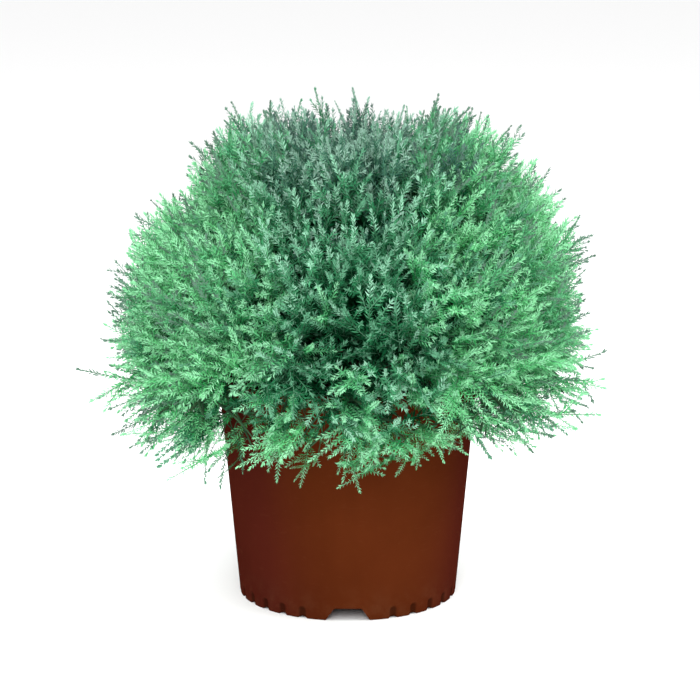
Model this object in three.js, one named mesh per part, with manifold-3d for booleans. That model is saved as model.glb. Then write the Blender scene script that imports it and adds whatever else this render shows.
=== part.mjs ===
// Potted arborvitae: a dense, broad dome of soft blue-green needle foliage that spills over the rim of a
// brown moulded nursery pot. Millimetres, +Z up. The origin is on the ground under the middle of the pot,
// and -Y is the front, where one of the pot's drainage notches is.
import * as THREE from "three";
import { mergeVertices } from "three/addons/utils/BufferGeometryUtils.js";
import Module from "manifold-3d";

const wasm = await Module();
wasm.setup();

const DEGREE = Math.PI / 180;
const GOLDEN_ANGLE = Math.PI * (3 - Math.sqrt(5));
const CLEARANCE = 0.3; // between pieces that touch on the real plant
const SEED = 41;

// Pot: a tapered container with a thickened lip, on a fluted foot ring
const POT_HEIGHT = 226;
const RIM_RADIUS = 131;
const RIM_BAND = 10;
const RIM_EDGE = 1.5;
const WALL_TOP_RADIUS = 127.5;
const BASE_RADIUS = 107;
const WALL = 2.6;
const FOOT_WALL = 4;
const FOOT_BAND = 18;
const FLOOR_UNDERSIDE = 13;
const POT_SIDES = 60;

// Foot ring: wide notches, with arch-topped flutes and scalloped feet between them
const NOTCH_COUNT = 3;
const NOTCH_TOP_WIDTH = 26;
const NOTCH_BOTTOM_WIDTH = 43;
const NOTCH_HEIGHT = 12.3;
const FLUTES_PER_NOTCH = 7;
const FLUTE_PITCH = 12 * DEGREE;
const FLUTE_WIDTH = 9;
const FLUTE_DEPTH = 1.7;
const FLUTE_STRAIGHT = 8;
const SCALLOP_HEIGHT = 1.8;
const SCALLOP_WIDTH = 9;
const DRAIN_RADIUS = 7;
const DRAIN_CIRCLE = 78;

// Potting mix and trunk
const SOIL_LEVEL = 206;
const SOIL_SINK = 4; // the surface falls this much towards the wall
const TRUNK_HEIGHT = 62;
const TRUNK_BASE_RADIUS = 15;
const TRUNK_TIP_RADIUS = 7.5;
const ROOT_FLARE = 9;
const FLARE_HEIGHT = 16;
const FLARE_LOBES = 5;
const TRUNK_LEAN = 2;
const TRUNK_SIDES = 15;

// Crown: a superellipse dome above the middle of the branching, and a shallower skirt below it
const CROWN_CENTRE = 244;
const TRUNK_FOOT = SOIL_LEVEL + CLEARANCE - CROWN_CENTRE;
const CROWN_RADIUS = 250;
const CROWN_RISE = 252;
const CROWN_DROP = 98;
const DOME_ROUNDNESS = 2.16;
const SKIRT_ROUNDNESS = 3;
const LAYER_SWELL = 0.04; // layers of growth stand out this much, as a share
const LAYER_PITCH = 36 * DEGREE;
const FIRST_LAYER = -8 * DEGREE;
const SHOULDER_SWELL = 0.055; // its right shoulder stands out this much more, and its left one less
const SHOULDER_FOOT = 28 * DEGREE;
const SHOULDER_HEAD = 56 * DEGREE;
const MASS_GAP = 1.2; // from a mass to the border of its own space
const POT_GAP = 4; // from foliage to the pot

// Tiers of boughs, each with its mass of foliage. How far out the middle of the core is, and the ends of
// the twigs, are shares of the way to the outline.
const TIERS = [
  { name: "skirt", count: 8, elevation: -14, turn: 0, core: 0.74, twig: 0.84 },
  { name: "side", count: 8, elevation: 12, turn: 22.5, core: 0.6, twig: 0.76 },
  { name: "shoulder", count: 6, elevation: 43, turn: 12, core: 0.6, twig: 0.76 },
  { name: "top", count: 1, elevation: 90, turn: 0, core: 0.6, twig: 0.76 },
];
const BOUGH_ROOT_RADIUS = 3.2;
const BOUGH_TIP_RADIUS = 2.4;
const BOUGH_REACH = 0.36; // share of the way to the outline
// Radii and heights from the middle of the branching: out over the pot's rim, then drooping
const SKIRT_BOUGH_TIP = [140, -5];
const SKIRT_STEM_TIP = [212, -42];
const STEM_REACH = 0.62;
const STEM_TIP_RADIUS = 1.6;
const CORE_STEP = 2;
const CORE_BACK = 8; // from the bough's tip to the nearest of the core
const CORE_EASE = 0.03;
const CORE_LUMPS = 0.1;
const CORE_LIMIT = 0.84; // share of the way to the outline that a core may fill

// Twigs fan out to points spread evenly over the crown, and each ends in a flat spray
const TWIG_COUNT = 250;
const LOWEST_TWIG = -38 * DEGREE;
const TWIG_RADIUS = 2.2;
const TWIG_TIP_RADIUS = 1.3;
const SPRAY_LENGTH = 84;
const SPRAY_SPREAD = 0.26; // how much shorter the shortest start out, as a share
const SHORTEST_SPRAY = 30;
const SPRAY_HALF_WIDTH = 0.46; // share of its length
const SPRAY_THICKNESS = 0.04; // share of its length, at the ridge
const SPRAY_RIDGE = 0.45; // how far along the spray the ridge is
const SPRAY_ROOT_SINK = 10;
const SPRAY_TURNS = 4; // ways round its twig that a spray is tried
// Half of a spray's toothed outline, root to tip: shares of its length and of its half width
const SPRAY_TEETH = [
  [0, 0.1],
  [0.72, 1],
  [0.64, 0.6],
  [0.94, 0.46],
  [0.74, 0.2],
];

const UP = new THREE.Vector3(0, 0, 1);

// Materials
const plastic = new THREE.MeshStandardMaterial({ color: 0x652e16, roughness: 0.45, metalness: 0 });
const mix = new THREE.MeshStandardMaterial({ color: 0x33241a, roughness: 0.95, metalness: 0 });
const bark = new THREE.MeshStandardMaterial({ color: 0x6a4f3d, roughness: 0.9, metalness: 0 });
const needles = new THREE.MeshStandardMaterial({ color: 0x55a078, roughness: 0.6, metalness: 0 });

// A closed geometry as a solid
function solidOf(geometry) {
  const bare = geometry.index ? geometry.toNonIndexed() : geometry.clone();
  for (const name of Object.keys(bare.attributes)) {
    if (name !== "position") bare.deleteAttribute(name);
  }
  const merged = mergeVertices(bare, 1e-3);
  const corners = merged.index.array;
  const triVerts = [];
  for (let i = 0; i < corners.length; i += 3) {
    const [a, b, c] = [corners[i], corners[i + 1], corners[i + 2]];
    if (a !== b && b !== c && c !== a) triVerts.push(a, b, c);
  }
  return new wasm.Manifold(
    new wasm.Mesh({
      numProp: 3,
      vertProperties: new Float32Array(merged.attributes.position.array),
      triVerts: new Uint32Array(triVerts),
    }),
  );
}

// The outer surface of a solid's main body: loose scraps and sealed hollows are left behind
function geometryOf(solid) {
  const bodies = solid.decompose();
  const main = bodies.reduce((best, body) => (body.volume() > best.volume() ? body : best));
  const { numProp, vertProperties, triVerts } = main.getMesh();
  const positions = [];
  for (let i = 0; i < vertProperties.length; i += numProp) {
    positions.push(vertProperties[i], vertProperties[i + 1], vertProperties[i + 2]);
  }
  const geometry = new THREE.BufferGeometry();
  geometry.setAttribute("position", new THREE.Float32BufferAttribute(positions, 3));
  geometry.setIndex([...triVerts]);
  geometry.computeVertexNormals();
  return geometry;
}

function piece(name, geometry, material) {
  const mesh = new THREE.Mesh(geometry, material);
  mesh.name = name;
  return mesh;
}

// A repeatable stream of numbers from 0 to 1
function seeded(seed) {
  let state = seed >>> 0;
  return () => {
    state = (state + 0x6d2b79f5) >>> 0;
    let t = Math.imul(state ^ (state >>> 15), state | 1);
    t ^= t + Math.imul(t ^ (t >>> 7), t | 61);
    return ((t ^ (t >>> 14)) >>> 0) / 4294967296;
  };
}

function direction(azimuth, elevation) {
  return new THREE.Vector3(
    Math.cos(elevation) * Math.cos(azimuth),
    Math.cos(elevation) * Math.sin(azimuth),
    Math.sin(elevation),
  );
}

// Two directions square to a given one, so that side x normal = axis
function squareTo(axis) {
  const helper = Math.abs(axis.z) < 0.9 ? UP : new THREE.Vector3(0, 1, 0);
  const side = new THREE.Vector3().crossVectors(helper, axis).normalize();
  return [side, new THREE.Vector3().crossVectors(axis, side)];
}

// Pot

function wallRadius(height) {
  return BASE_RADIUS + ((WALL_TOP_RADIUS - BASE_RADIUS) * height) / POT_HEIGHT;
}

// A profile of [radius, height] points turned about the Z axis
function turned(profile, sides) {
  const points = profile.map(([radius, height]) => new THREE.Vector2(radius, height));
  return new THREE.LatheGeometry(points, sides).rotateX(Math.PI / 2);
}

function potShell() {
  const floor = FLOOR_UNDERSIDE + WALL;
  const bandFoot = POT_HEIGHT - RIM_BAND;
  return turned(
    [
      [0, FLOOR_UNDERSIDE],
      [wallRadius(FLOOR_UNDERSIDE) - FOOT_WALL, FLOOR_UNDERSIDE],
      [wallRadius(0) - FOOT_WALL, 0],
      [wallRadius(0), 0],
      [wallRadius(FOOT_BAND), FOOT_BAND],
      [wallRadius(bandFoot - RIM_EDGE), bandFoot - RIM_EDGE],
      [RIM_RADIUS - RIM_EDGE / 2, bandFoot],
      [RIM_RADIUS, bandFoot + RIM_EDGE],
      [RIM_RADIUS, POT_HEIGHT - RIM_EDGE],
      [RIM_RADIUS - RIM_EDGE, POT_HEIGHT],
      [wallRadius(POT_HEIGHT) - WALL, POT_HEIGHT],
      [wallRadius(floor) - WALL, floor],
      [0, floor],
    ],
    POT_SIDES,
  );
}

// An arch-topped groove: a round bar with a domed head, set so that it bites FLUTE_DEPTH into the wall
function fluteCutter() {
  const half = FLUTE_WIDTH / 2;
  const radius = (half * half + FLUTE_DEPTH * FLUTE_DEPTH) / (2 * FLUTE_DEPTH);
  const head = FLUTE_STRAIGHT + radius;
  return turned(
    [
      [0, -1],
      [radius, -1],
      [radius, FLUTE_STRAIGHT],
      [radius * Math.SQRT1_2, FLUTE_STRAIGHT + radius * Math.SQRT1_2],
      [0, head],
    ],
    10,
  ).translate(BASE_RADIUS + radius - FLUTE_DEPTH, 0, 0);
}

// A low arch under the foot ring, along +X
function scallopCutter() {
  const half = SCALLOP_WIDTH / 2;
  const radius = (half * half + SCALLOP_HEIGHT * SCALLOP_HEIGHT) / (2 * SCALLOP_HEIGHT);
  return new THREE.CylinderGeometry(radius, radius, 4 * FOOT_WALL, 8)
    .rotateZ(Math.PI / 2)
    .translate(BASE_RADIUS - FOOT_WALL / 2, 0, SCALLOP_HEIGHT - radius);
}

// A trapezoid opening through the foot ring, along +X
function notchCutter() {
  const corner = 3;
  const slope = (NOTCH_BOTTOM_WIDTH - NOTCH_TOP_WIDTH) / 2 / NOTCH_HEIGHT;
  const outline = new THREE.Shape();
  const half = NOTCH_BOTTOM_WIDTH / 2 + slope;
  const shoulder = NOTCH_TOP_WIDTH / 2;
  outline.moveTo(-half, -1);
  outline.lineTo(half, -1);
  outline.lineTo(shoulder + corner * slope, NOTCH_HEIGHT - corner);
  outline.quadraticCurveTo(shoulder, NOTCH_HEIGHT, shoulder - corner, NOTCH_HEIGHT);
  outline.lineTo(corner - shoulder, NOTCH_HEIGHT);
  outline.quadraticCurveTo(-shoulder, NOTCH_HEIGHT, -shoulder - corner * slope, NOTCH_HEIGHT - corner);
  const depth = 5 * FOOT_WALL;
  return new THREE.ExtrudeGeometry(outline, { depth, bevelEnabled: false, curveSegments: 3 })
    .rotateX(Math.PI / 2)
    .rotateZ(Math.PI / 2)
    .translate(BASE_RADIUS - depth / 2, 0, 0);
}

function drainCutter() {
  return new THREE.CylinderGeometry(DRAIN_RADIUS, DRAIN_RADIUS, 4 * WALL, 12)
    .rotateX(Math.PI / 2)
    .translate(DRAIN_CIRCLE, 0, FLOOR_UNDERSIDE + WALL / 2);
}

function pot() {
  const cutters = [];
  const cut = (geometry, angle) => cutters.push(solidOf(geometry.rotateZ(angle)));
  for (let n = 0; n < NOTCH_COUNT; n++) {
    const notch = -Math.PI / 2 + (n * 2 * Math.PI) / NOTCH_COUNT;
    cut(notchCutter(), notch);
    cut(drainCutter(), notch);
    for (let f = 0; f < FLUTES_PER_NOTCH; f++) {
      const angle = notch + (f + 2) * FLUTE_PITCH;
      cut(fluteCutter(), angle);
      cut(scallopCutter(), angle);
    }
  }
  const shell = solidOf(potShell()).subtract(wasm.Manifold.union(cutters));
  return piece("pot", geometryOf(shell), plastic);
}

// Potting mix: fills the pot to a little under its rim, level round the trunk

function pottingMix() {
  const foot = FLOOR_UNDERSIDE + WALL + CLEARANCE;
  const edge = SOIL_LEVEL - SOIL_SINK;
  const wall = (height) => wallRadius(height) - WALL - 2 * CLEARANCE;
  const profile = [
    [0, foot],
    [wall(foot), foot],
    [wall(edge), edge],
    [WALL_TOP_RADIUS / 2, SOIL_LEVEL],
    [0, SOIL_LEVEL],
  ];
  return piece("potting_mix", turned(profile, POT_SIDES / 2), mix);
}

// A closed tapering limb: rings of points about a path, with flat ends
function limb(path, radii, sides, flare = () => 1) {
  const positions = [];
  const index = [];
  let side = null;
  path.forEach((point, i) => {
    const along = new THREE.Vector3()
      .subVectors(path[Math.min(i + 1, path.length - 1)], path[Math.max(i - 1, 0)])
      .normalize();
    side = side ? side.clone().addScaledVector(along, -side.dot(along)).normalize() : squareTo(along)[0];
    const normal = new THREE.Vector3().crossVectors(along, side);
    for (let j = 0; j < sides; j++) {
      const turn = (j * 2 * Math.PI) / sides;
      const radius = radii[i] * flare(turn, i);
      const spot = point.clone();
      spot.addScaledVector(side, radius * Math.cos(turn)).addScaledVector(normal, radius * Math.sin(turn));
      positions.push(spot.x, spot.y, spot.z);
    }
  });
  for (let i = 0; i + 1 < path.length; i++) {
    for (let j = 0; j < sides; j++) {
      const [a, b] = [i * sides + j, i * sides + ((j + 1) % sides)];
      index.push(a, b, a + sides, b, b + sides, a + sides);
    }
  }
  const last = (path.length - 1) * sides;
  for (let j = 1; j + 1 < sides; j++) {
    index.push(0, j + 1, j, last, last + j, last + j + 1);
  }
  const geometry = new THREE.BufferGeometry();
  geometry.setAttribute("position", new THREE.Float32BufferAttribute(positions, 3));
  geometry.setIndex(index);
  geometry.computeVertexNormals();
  return geometry;
}

// Trunk: short and stout, with a lobed root flare, from a flat cut on the potting mix up to its fork

function trunkRadius(height) {
  const taper = TRUNK_BASE_RADIUS + ((TRUNK_TIP_RADIUS - TRUNK_BASE_RADIUS) * height) / TRUNK_HEIGHT;
  const rise = Math.max(0, 1 - height / FLARE_HEIGHT);
  return taper + ROOT_FLARE * rise * rise;
}

// How far the trunk's axis stands to the right, at a height above the potting mix
function trunkLean(height) {
  return TRUNK_LEAN * Math.sin((Math.PI * height) / TRUNK_HEIGHT);
}

function trunk() {
  const heights = [0, 5, 10, FLARE_HEIGHT, 30, 46, TRUNK_HEIGHT];
  const path = heights.map((height) => new THREE.Vector3(0, 0, height));
  const lobed = (turn, ring) => {
    const rise = Math.max(0, 1 - heights[ring] / FLARE_HEIGHT);
    return 1 + 0.16 * rise * Math.cos(FLARE_LOBES * turn);
  };
  const geometry = limb(path, heights.map(trunkRadius), TRUNK_SIDES, lobed);
  const corners = geometry.getAttribute("position");
  for (let i = 0; i < corners.count; i++) corners.setX(i, corners.getX(i) + trunkLean(corners.getZ(i)));
  const mesh = piece("trunk", geometry, bark);
  mesh.position.z = CROWN_CENTRE + TRUNK_FOOT;
  return mesh;
}

// Crown: all of it is laid out about the middle of the branching, on the trunk's axis

// Distance to the crown's outline along a direction
function reach(heading) {
  const [drop, roundness] =
    heading.z < 0 ? [CROWN_DROP, SKIRT_ROUNDNESS] : [CROWN_RISE, DOME_ROUNDNESS];
  const across = Math.hypot(heading.x, heading.y) / CROWN_RADIUS;
  const upright = Math.abs(heading.z) / drop;
  const elevation = Math.asin(heading.z);
  const layer = Math.cos((2 * Math.PI * (elevation - FIRST_LAYER)) / LAYER_PITCH);
  const climb = (elevation - SHOULDER_FOOT) / (SHOULDER_HEAD - SHOULDER_FOOT);
  const shoulder = heading.x * Math.min(1, Math.max(0, climb));
  const swell = 1 + LAYER_SWELL * layer + SHOULDER_SWELL * shoulder;
  return swell * (across ** roundness + upright ** roundness) ** (-1 / roundness);
}

function insideOutline(point) {
  const distance = point.length();
  return distance <= reach(point.clone().divideScalar(distance));
}

function clearOfPot(point) {
  const height = point.z + CROWN_CENTRE;
  if (height > POT_HEIGHT + POT_GAP) return true;
  const band = height > POT_HEIGHT - RIM_BAND - POT_GAP ? RIM_RADIUS : wallRadius(height);
  return Math.hypot(point.x, point.y) > band + POT_GAP;
}

// The crown is shared out among the masses: each owns the directions nearest to its own axis
const masses = TIERS.flatMap((tier) =>
  Array.from({ length: tier.count }, (_, n) => {
    const azimuth = tier.turn * DEGREE - Math.PI / 2 + (n * 2 * Math.PI) / tier.count;
    return {
      ...tier,
      label: tier.count > 1 ? `${tier.name}_${n + 1}` : tier.name,
      azimuth,
      axis: direction(azimuth, tier.elevation * DEGREE),
    };
  }),
);

function ownerOf(heading) {
  return masses.reduce((best, mass) => (mass.axis.dot(heading) > best.axis.dot(heading) ? mass : best));
}

function insideSpace(point, mass) {
  return masses.every((other) => {
    if (other === mass) return true;
    const border = mass.axis.clone().sub(other.axis).normalize();
    return border.dot(point) > MASS_GAP;
  });
}

// Every corner of a mass's twig or spray, and the middle of every edge, stays in the mass's own space
function keepsToSpace(geometry, mass) {
  const corners = geometry.getAttribute("position");
  const corner = (i) => new THREE.Vector3().fromBufferAttribute(corners, geometry.index.getX(i));
  for (let i = 0; i < geometry.index.count; i++) {
    const next = i % 3 === 2 ? i - 2 : i + 1;
    for (const point of [corner(i), corner(i).lerp(corner(next), 0.5)]) {
      if (!insideOutline(point) || !insideSpace(point, mass) || !clearOfPot(point)) return false;
    }
  }
  return true;
}

// A point in the upright plane of a mass, from its radius and height
function inPlane(mass, [radius, height]) {
  return direction(mass.azimuth, 0).multiplyScalar(radius).setZ(height);
}

// Distance from a point of the crown to the trunk's bark
function trunkGap(point) {
  const height = THREE.MathUtils.clamp(point.z - TRUNK_FOOT, 0, TRUNK_HEIGHT);
  return Math.hypot(point.x - trunkLean(height), point.y) - trunkRadius(height);
}

// Distance from the trunk to the upper or the lower edge of a bough's end, whichever is nearer
function endGap(root, mass) {
  const along = boughTip(mass).sub(root).normalize();
  const edge = squareTo(along)[1].multiplyScalar(BOUGH_ROOT_RADIUS);
  return Math.min(trunkGap(root.clone().add(edge)), trunkGap(root.clone().sub(edge)));
}

// Where a bough leaves the trunk
function boughRoot(mass) {
  if (mass.name === "top") return new THREE.Vector3(0, 0, TRUNK_FOOT + TRUNK_HEIGHT + CLEARANCE);
  const root = mass.axis.clone().multiplyScalar(TRUNK_TIP_RADIUS);
  while (endGap(root, mass) < CLEARANCE) root.addScaledVector(mass.axis, 0.1);
  return root;
}

function boughTip(mass) {
  if (mass.name === "skirt") return inPlane(mass, SKIRT_BOUGH_TIP);
  return mass.axis.clone().multiplyScalar(BOUGH_REACH * reach(mass.axis));
}

function bough(mass) {
  const [root, tip] = [boughRoot(mass), boughTip(mass)];
  const middle = root.clone().lerp(tip, 0.5);
  const radii = [BOUGH_ROOT_RADIUS, (BOUGH_ROOT_RADIUS + BOUGH_TIP_RADIUS) / 2, BOUGH_TIP_RADIUS];
  return piece(`bough_${mass.label}`, limb([root, middle, tip], radii, 6), bark);
}

// The stem that a mass's twigs branch from: it carries on from the bough's tip
function stemPath(mass) {
  const tip = boughTip(mass);
  const outward = mass.name === "skirt" ? inPlane(mass, [1, 0]) : mass.axis;
  const start = tip.clone().addScaledVector(outward, CLEARANCE);
  if (mass.name !== "skirt") {
    return new THREE.LineCurve3(start, mass.axis.clone().multiplyScalar(STEM_REACH * reach(mass.axis)));
  }
  const end = inPlane(mass, SKIRT_STEM_TIP);
  const bend = new THREE.Vector3(end.x, end.y, start.z).lerp(start, 0.35);
  return new THREE.QuadraticBezierCurve3(start, bend, end);
}

// A skirt's core hangs outside the pot's rim, and every other core is above it
function coreFits(spot, mass) {
  const besidePot = Math.hypot(spot.x, spot.y) > RIM_RADIUS + POT_GAP;
  const abovePot = spot.z > POT_HEIGHT + POT_GAP - CROWN_CENTRE;
  const beyondBough = spot.length() > boughTip(mass).length() + CORE_BACK;
  const inner = insideOutline(spot.clone().divideScalar(CORE_LIMIT));
  return (mass.name === "skirt" ? besidePot : abovePot) && beyondBough && inner && insideSpace(spot, mass);
}

// A lumpy core that fills the dense middle of a mass, out towards the borders of its space
function core(mass, random) {
  const middle = mass.axis.clone().multiplyScalar(mass.core * reach(mass.axis));
  const ball = new THREE.IcosahedronGeometry(1, 1).deleteAttribute("normal").deleteAttribute("uv");
  const geometry = mergeVertices(ball);
  const corners = geometry.getAttribute("position");
  for (let i = 0; i < corners.count; i++) {
    const heading = new THREE.Vector3().fromBufferAttribute(corners, i);
    const spot = middle.clone();
    while (coreFits(spot, mass)) spot.addScaledVector(heading, CORE_STEP);
    spot.lerp(middle, CORE_EASE + CORE_LUMPS * random());
    corners.setXYZ(i, spot.x, spot.y, spot.z);
  }
  return geometry;
}

// One spray: a toothed blade, thickest at a point on its midrib
function spray(root, forward, side, length) {
  const normal = new THREE.Vector3().crossVectors(forward, side);
  const at = (along, across, lift) =>
    root
      .clone()
      .addScaledVector(forward, along * length)
      .addScaledVector(side, across * SPRAY_HALF_WIDTH * length)
      .addScaledVector(normal, (lift * SPRAY_THICKNESS * length) / 2);
  const left = SPRAY_TEETH.map(([along, across]) => at(along, across, 0));
  const right = SPRAY_TEETH.map(([along, across]) => at(along, -across, 0)).reverse();
  const outline = [...right, ...left, at(1, 0, 0)];
  const ridges = [at(SPRAY_RIDGE, 0, 1), at(SPRAY_RIDGE, 0, -1)];
  const corners = [...outline, ...ridges];
  const [above, below] = [outline.length, outline.length + 1];
  const index = [];
  outline.forEach((_, i) => {
    const next = (i + 1) % outline.length;
    index.push(i, above, next, next, below, i);
  });
  const geometry = new THREE.BufferGeometry();
  geometry.setFromPoints(corners);
  geometry.setIndex(index);
  return geometry;
}

// Directions to the twigs of the whole crown, evenly spread on a golden spiral
const twigHeadings = Array.from({ length: TWIG_COUNT }, (_, k) => {
  const low = Math.sin(LOWEST_TWIG);
  return direction(k * GOLDEN_ANGLE, Math.asin(low + ((1 - low) * (k + 0.5)) / TWIG_COUNT));
});

// The spray at the end of a twig: it turns about the twig, then shortens, until it fits in the mass's space
function sprayOn(mass, twigRoot, twigTip, heading, random) {
  const along = new THREE.Vector3().subVectors(twigTip, twigRoot).normalize();
  const forward = along.clone().lerp(heading, 0.5).normalize();
  const root = twigTip.clone().addScaledVector(along, -SPRAY_ROOT_SINK);
  const [first, second] = squareTo(forward);
  const roll = Math.PI * random();
  const longest = SPRAY_LENGTH * (1 - SPRAY_SPREAD * random());
  for (let length = longest; length > SHORTEST_SPRAY; length *= 0.95) {
    for (let turn = 0; turn < SPRAY_TURNS; turn++) {
      const angle = roll + (turn * Math.PI) / SPRAY_TURNS;
      const side = first.clone().multiplyScalar(Math.cos(angle)).addScaledVector(second, Math.sin(angle));
      const blade = spray(root, forward, side, length);
      if (keepsToSpace(blade, mass)) return [blade];
    }
  }
  return [];
}

// A mass of foliage: its stem, its core, and its twigs with their sprays, all fused into one
function foliage(mass, number) {
  const random = seeded(SEED + number);
  const stem = stemPath(mass);
  const radii = [0, 1, 2, 3].map((i) => THREE.MathUtils.lerp(BOUGH_TIP_RADIUS, STEM_TIP_RADIUS, i / 3));
  const parts = [limb(stem.getPoints(3), radii, 6), core(mass, random)];
  for (const heading of twigHeadings) {
    if (ownerOf(heading) !== mass) continue;
    const tip = heading.clone().multiplyScalar(mass.twig * reach(heading));
    const root = stem.getPoint(nearestShare(stem, tip));
    const twig = limb([root, tip], [TWIG_RADIUS, TWIG_TIP_RADIUS], 3);
    if (!keepsToSpace(twig, mass)) continue;
    parts.push(twig, ...sprayOn(mass, root, tip, heading, random));
  }
  return piece(`foliage_${mass.label}`, geometryOf(wasm.Manifold.union(parts.map(solidOf))), needles);
}

// Where a twig to a given point leaves the stem: a little before the nearest place on it
function nearestShare(stem, tip) {
  let best = 0;
  for (let share = 0; share <= 1; share += 0.05) {
    if (stem.getPoint(share).distanceTo(tip) < stem.getPoint(best).distanceTo(tip)) best = share;
  }
  return Math.max(0.08, best - 0.3);
}

function crown() {
  const group = new THREE.Group();
  group.position.z = CROWN_CENTRE;
  masses.forEach((mass, number) => group.add(bough(mass), foliage(mass, number)));
  return group;
}

const plant = new THREE.Group();
plant.add(pot(), pottingMix(), trunk(), crown());

export default plant;
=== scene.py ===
"""Potted arborvitae: a dense, broad dome of soft blue-green needle sprays in a brown moulded nursery pot."""

import random
from collections import namedtuple
from math import asin, atan2, copysign, cos, hypot, pi, radians, sin, sqrt

import bmesh
import bpy
import mathutils.noise
import numpy as np
from mathutils import Matrix, Vector


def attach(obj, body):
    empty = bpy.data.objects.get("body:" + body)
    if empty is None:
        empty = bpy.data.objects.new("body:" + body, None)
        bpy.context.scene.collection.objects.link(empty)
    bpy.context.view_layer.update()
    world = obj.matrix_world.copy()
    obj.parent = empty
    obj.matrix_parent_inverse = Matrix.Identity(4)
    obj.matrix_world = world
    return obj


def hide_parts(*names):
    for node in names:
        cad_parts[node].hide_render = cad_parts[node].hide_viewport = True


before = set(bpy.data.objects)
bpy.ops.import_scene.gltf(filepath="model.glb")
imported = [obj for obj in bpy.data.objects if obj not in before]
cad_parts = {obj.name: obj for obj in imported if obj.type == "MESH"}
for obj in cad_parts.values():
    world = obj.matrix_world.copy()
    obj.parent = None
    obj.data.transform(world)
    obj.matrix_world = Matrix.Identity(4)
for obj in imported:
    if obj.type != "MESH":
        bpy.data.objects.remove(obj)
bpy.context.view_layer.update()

# The studio: a seamless white floor, soft boxes in front, wide to both sides and overhead, and one camera a
# little above the plant, about two and a half metres away.
VIEW_POINT = Vector((0.0021, 0, 0.2419))
VIEW_DISTANCE = 2.455
VIEW_ELEVATION = radians(12.2)
METRES_PER_PIXEL = 0.000977
PHOTO_WIDTH = 700
SENSOR_WIDTH = 36
LIT_POINT = Vector((0, 0, 0.27))
SOFT_BOXES = [  # name, place, width, power
    ("box_front", (-0.3, -2.8, 1.7), 1.6, 54),
    ("box_left", (-1.6, -0.5, 2.1), 1.4, 35),
    ("box_right", (1.6, -0.5, 2.1), 1.4, 54),
    ("box_over", (-0.2, -0.3, 2.6), 1.6, 14),
]
FLOOR_HALF = 9
FLOOR_WHITE = (0.93, 0.93, 0.93)
scene = bpy.context.scene
scene.view_settings.view_transform = "Standard"


def put_in_scene(name, data):
    thing = bpy.data.objects.new(name, data)
    scene.collection.objects.link(thing)
    return thing


def bare_mesh(name, verts, faces=(), edges=()):
    mesh = bpy.data.meshes.new(name)
    mesh.from_pydata([tuple(v) for v in verts], edges, faces)
    return mesh


def finish(name, roughness, specular, colour=None):
    """A new material and its shader's sockets, in one colour unless a pattern is fed to it."""
    material = bpy.data.materials.new(name)
    material.use_nodes = True
    surface = material.node_tree.nodes["Principled BSDF"].inputs
    surface["Roughness"].default_value = roughness
    surface["Specular IOR Level"].default_value = specular
    if colour:
        surface["Base Color"].default_value = (*colour, 1)
    return material, surface


camera_data = bpy.data.cameras.new("camera")
camera_data.sensor_width = SENSOR_WIDTH
camera_data.lens = SENSOR_WIDTH * VIEW_DISTANCE / METRES_PER_PIXEL / PHOTO_WIDTH
camera = put_in_scene("camera", camera_data)
view_heading = Vector((0, -cos(VIEW_ELEVATION), sin(VIEW_ELEVATION)))
camera.location = VIEW_POINT + VIEW_DISTANCE * view_heading
camera.rotation_euler = (pi / 2 - VIEW_ELEVATION, 0, 0)
scene.camera = camera

for name, place, width, power in SOFT_BOXES:
    light = bpy.data.lights.new(name, "AREA")
    light.size, light.energy = width, power
    lamp = put_in_scene(name, light)
    lamp.location = place
    lamp.rotation_euler = (LIT_POINT - Vector(place)).to_track_quat("-Z", "Y").to_euler()

world = bpy.data.worlds.new("studio")
world.use_nodes = True
backdrop = world.node_tree.nodes["Background"].inputs
backdrop["Color"].default_value = (1, 1, 1, 1)
backdrop["Strength"].default_value = 1.0
scene.world = world

floor_corners = [(x * FLOOR_HALF, y * FLOOR_HALF, 0) for x, y in ((-1, -1), (1, -1), (1, 1), (-1, 1))]
floor = put_in_scene("floor", bare_mesh("floor", floor_corners, [(0, 1, 2, 3)]))
floor.data.materials.append(finish("white_sweep", 0.9, 0.5, FLOOR_WHITE)[0])

# The pot: one injection moulding in brown polyethylene, tapered so that pots nest, with a thickened lip.
# Its foot ring has three drainage notches, and arch-topped flutes over scalloped feet between them. The
# front is painted a lighter brown than the back and edges, a painted highlight from the front lights, and
# the flutes are painted darker by their depth, painted shade in the recesses.
POT_HEIGHT = 0.226
RIM_RADIUS = 0.131
RIM_BAND = 0.010
RIM_EDGE = 0.0015
WALL_TOP_RADIUS = 0.1275
BASE_RADIUS = 0.107
POT_WALL = 0.0026
FOOT_WALL = 0.004
FOOT_BAND = 0.018
FOOT_ROUND = 0.0005
POT_FLOOR = 0.013
NOTCHES = 3
NOTCH_PITCH = radians(120)
NOTCH_TOP_HALF = 0.013
NOTCH_BOTTOM_HALF = 0.0215
NOTCH_HEIGHT = 0.0123
NOTCH_CORNER = 0.0016
FLUTE_PITCH = radians(12)
FLUTE_FREE = 1.5 * FLUTE_PITCH
FLUTE_HALF = 0.0045
FLUTE_DEPTH = 0.0017
FLUTE_STRAIGHT = 0.008
SCALLOP_HEIGHT = 0.0018
DRAIN_RADIUS = 0.007
DRAIN_CIRCLE = 0.078
DRAIN_SIDES = 40
PLATE_SIDES = 180
PLATE_LAP = 0.0012
POT_COLUMNS = 720
FOOT_RINGS = 26
WALL_RINGS = 22
INNER_HEIGHTS = (0.2, 0.15, 0.1, 0.05, POT_FLOOR + POT_WALL)
FRONT = -pi / 2
UP = Vector((0, 0, 1))
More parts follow.
